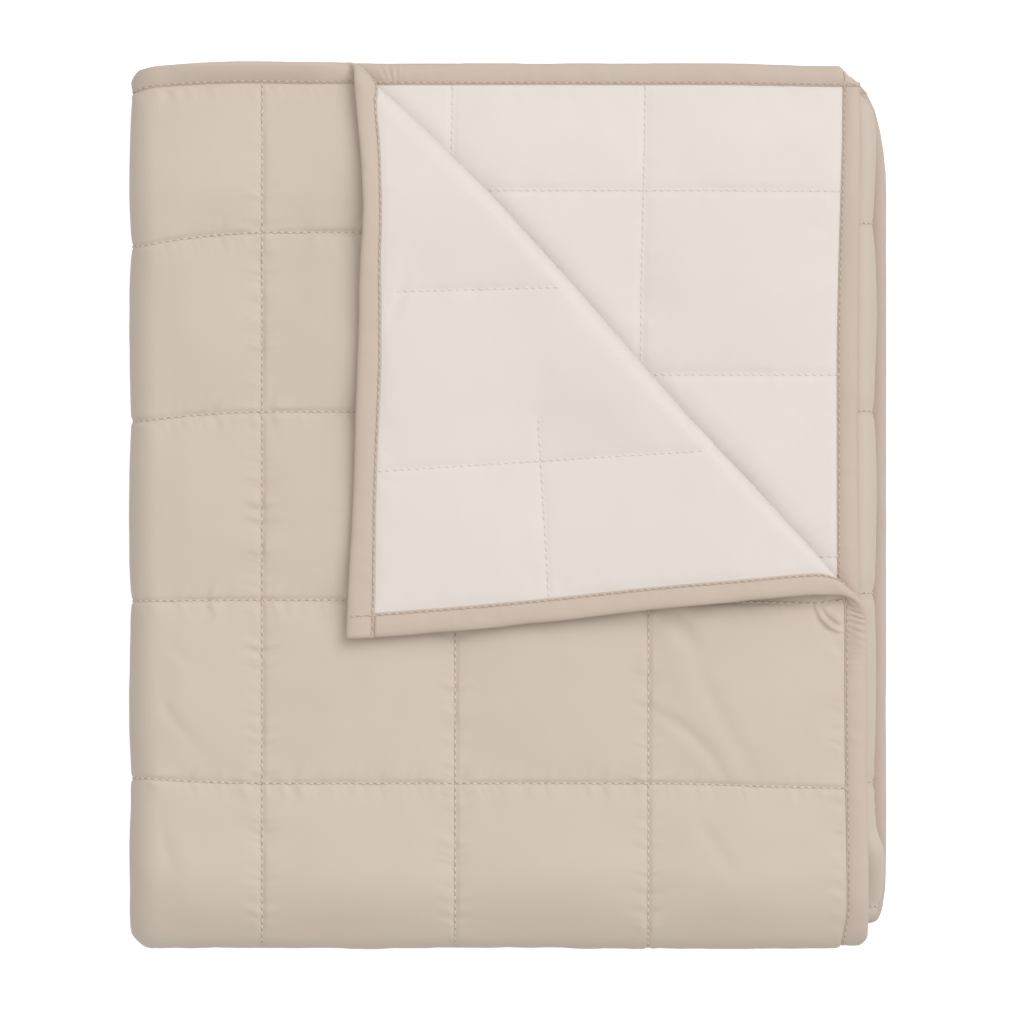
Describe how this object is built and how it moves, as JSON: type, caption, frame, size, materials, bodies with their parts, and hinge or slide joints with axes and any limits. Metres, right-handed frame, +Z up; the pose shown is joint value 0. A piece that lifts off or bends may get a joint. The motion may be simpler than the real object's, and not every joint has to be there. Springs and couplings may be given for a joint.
{
  "type": "folded quilted all-season duvet",
  "caption": "Quilted duvet folded into a rectangular pack, bound on its free edges, with its top corner turned back to show the paler reverse.",
  "frame": {"origin": "middle of the pack's footprint, on the surface that it lies on", "axes": "+Z up, +Y from the folded bottom edge of the pack towards its open edges, +X from the soft fold towards the bound ends"},
  "size_m": [0.4983, 0.5857, 0.094],
  "materials": {
    "quilt_cloth": "soft satin microfibre",
    "binding_cloth": "soft satin microfibre"
  },
  "bodies": {
    "root": {"quilt": "quilt_cloth", "binding_front_edge": "binding_cloth", "binding_back_edge": "binding_cloth", "binding_top_end": "binding_cloth", "binding_under_end": "binding_cloth"}
  },
  "joints": []
}
